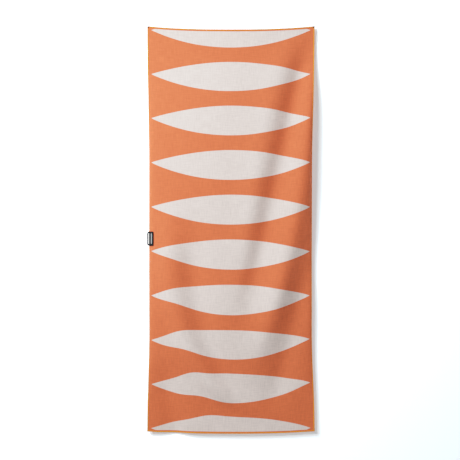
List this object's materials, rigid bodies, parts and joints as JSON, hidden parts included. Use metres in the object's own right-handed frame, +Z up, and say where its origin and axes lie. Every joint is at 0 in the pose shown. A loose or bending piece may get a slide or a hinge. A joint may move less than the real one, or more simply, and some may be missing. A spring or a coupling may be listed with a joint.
{
  "type": "quick dry towel",
  "caption": "Long thin travel towel of brushed cloth hung by its top corners, overlocked edges, a rubber side tag, a tape loop and a care label; the lower third folds up.",
  "frame": {"origin": "midway between the two top corners of the hung towel, on the line it hangs from", "axes": "+Z up along the towel's length, +X to the right as seen from the front, the printed front faces -Y"},
  "size_m": [0.76, 0.0647, 1.8498],
  "materials": {
    "towel_cloth": "brushed microfibre, orange with off-white printed lenses",
    "edge_thread": "orange overlock thread",
    "dark_thread": "red-brown tacking thread",
    "black_rubber": "satin black silicone rubber",
    "white_rubber": "matt white raised rubber",
    "grey_rubber": "matt grey raised rubber",
    "black_thread": "black sewing thread",
    "loop_tape": "woven orange tape",
    "label_satin": "off-white woven satin",
    "white_thread": "white sewing thread"
  },
  "bodies": {
    "root": {"towel_panel_upper": "towel_cloth", "towel_panel_fold": "towel_cloth", "hem_top": "edge_thread", "hem_left_upper": "edge_thread", "hem_left_fold": "edge_thread", "hem_right_upper": "edge_thread", "hem_right_fold": "edge_thread", "corner_tack_top_left": "dark_thread", "corner_tack_top_right": "dark_thread", "tag_margin": "black_rubber", "tag_stitching": "black_thread", "loop_anchor": "loop_tape", "loop_bar_tack": "dark_thread", "care_label_margin": "label_satin", "care_label_stitching": "white_thread"},
    "lower_third": {"towel_panel_lower": "towel_cloth", "hem_left_lower": "edge_thread", "hem_right_lower": "edge_thread", "hem_bottom": "edge_thread", "corner_tack_bottom_left": "edge_thread", "corner_tack_bottom_right": "edge_thread"},
    "tag": {"tag_flap": "black_rubber", "tag_bar_wide": "white_rubber", "tag_bar_narrow": "grey_rubber"},
    "loop": {"hanging_loop": "loop_tape"},
    "label": {"care_label": "label_satin"}
  },
  "joints": [
    {"name": "lower_third_fold", "type": "hinge", "parent": "root", "child": "lower_third", "pos_m": [0, -0.0129, -1.236], "axis": [-1, 0, 0], "range_deg": [0, 140], "deforming": ["towel_panel_fold", "hem_left_fold", "hem_right_fold"]},
    {"name": "tag_flip", "type": "hinge", "parent": "root", "child": "tag", "pos_m": [-0.35437, -0.02851, -0.96446], "axis": [0, 0.0158, 0.9999], "range_deg": [0, 130]},
    {"name": "loop_swing", "type": "hinge", "parent": "root", "child": "loop", "pos_m": [-0.345, 0.00389, -0.02125], "axis": [1, -0.0003, 0], "range_deg": [0, 165]},
    {"name": "label_flip", "type": "hinge", "parent": "root", "child": "label", "pos_m": [-0.36754, 0.00198, -0.11122], "axis": [-0.0057, 0.0198, 0.9998], "range_deg": [0, 150]}
  ]
}
